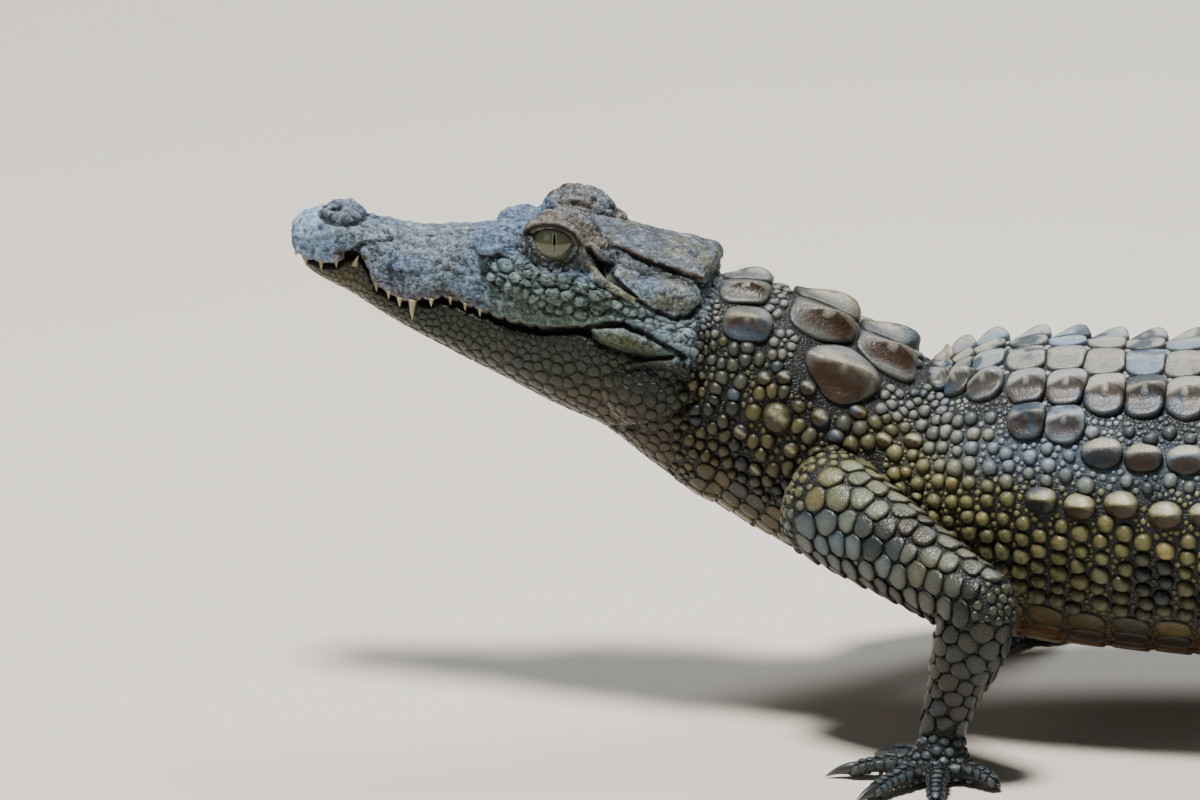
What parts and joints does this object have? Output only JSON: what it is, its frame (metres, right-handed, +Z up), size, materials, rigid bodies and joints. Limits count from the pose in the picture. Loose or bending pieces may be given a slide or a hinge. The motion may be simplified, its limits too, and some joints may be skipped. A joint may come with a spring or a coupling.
{
  "type": "young nile crocodile",
  "caption": "Life-size still model of a young Nile crocodile standing with its head raised, long tail lying on the floor.",
  "frame": {"origin": "middle of the animal's footprint box, on the floor under its soles", "axes": "-X towards the snout, +X towards the tail's tip, -Y the animal's left side, +Z up"},
  "size_m": [0.7332, 0.204, 0.1269],
  "materials": {
    "head_hide": "smooth blue-grey scaled skin over bone, dark speckles",
    "jaw_hide": "fine grey-green reticulated skin, ochre below",
    "neck_hide": "beaded blue-grey and olive scales with keeled plates",
    "trunk_hide": "keeled tan and slate back scutes, olive flank beads, ochre belly",
    "tail_hide": "banded olive and slate scales with an upright crest",
    "limb_hide": "flat olive-grey plates with dark seams",
    "claw_horn": "dark smooth horn",
    "eye_glass": "clear gloss over an olive iris with an upright slit pupil"
  },
  "bodies": {
    "root": {"head": "head_hide", "lower_jaw": "jaw_hide", "eye_left": "eye_glass", "eye_right": "eye_glass", "neck": "neck_hide", "trunk": "trunk_hide", "tail_base": "tail_hide", "tail_middle": "tail_hide", "tail_rear": "tail_hide", "tail_end": "tail_hide", "front_left_upper_arm": "limb_hide", "front_left_forearm": "limb_hide", "front_left_hand": "limb_hide", "front_left_claw_1": "claw_horn", "front_left_claw_2": "claw_horn", "front_left_claw_3": "claw_horn", "front_right_upper_arm": "limb_hide", "front_right_forearm": "limb_hide", "front_right_hand": "limb_hide", "front_right_claw_1": "claw_horn", "front_right_claw_2": "claw_horn", "front_right_claw_3": "claw_horn", "hind_left_thigh": "limb_hide", "hind_left_shin": "limb_hide", "hind_left_foot": "limb_hide", "hind_left_claw_1": "claw_horn", "hind_left_claw_2": "claw_horn", "hind_left_claw_3": "claw_horn", "hind_right_thigh": "limb_hide", "hind_right_shin": "limb_hide", "hind_right_foot": "limb_hide", "hind_right_claw_1": "claw_horn", "hind_right_claw_2": "claw_horn", "hind_right_claw_3": "claw_horn"}
  },
  "joints": []
}
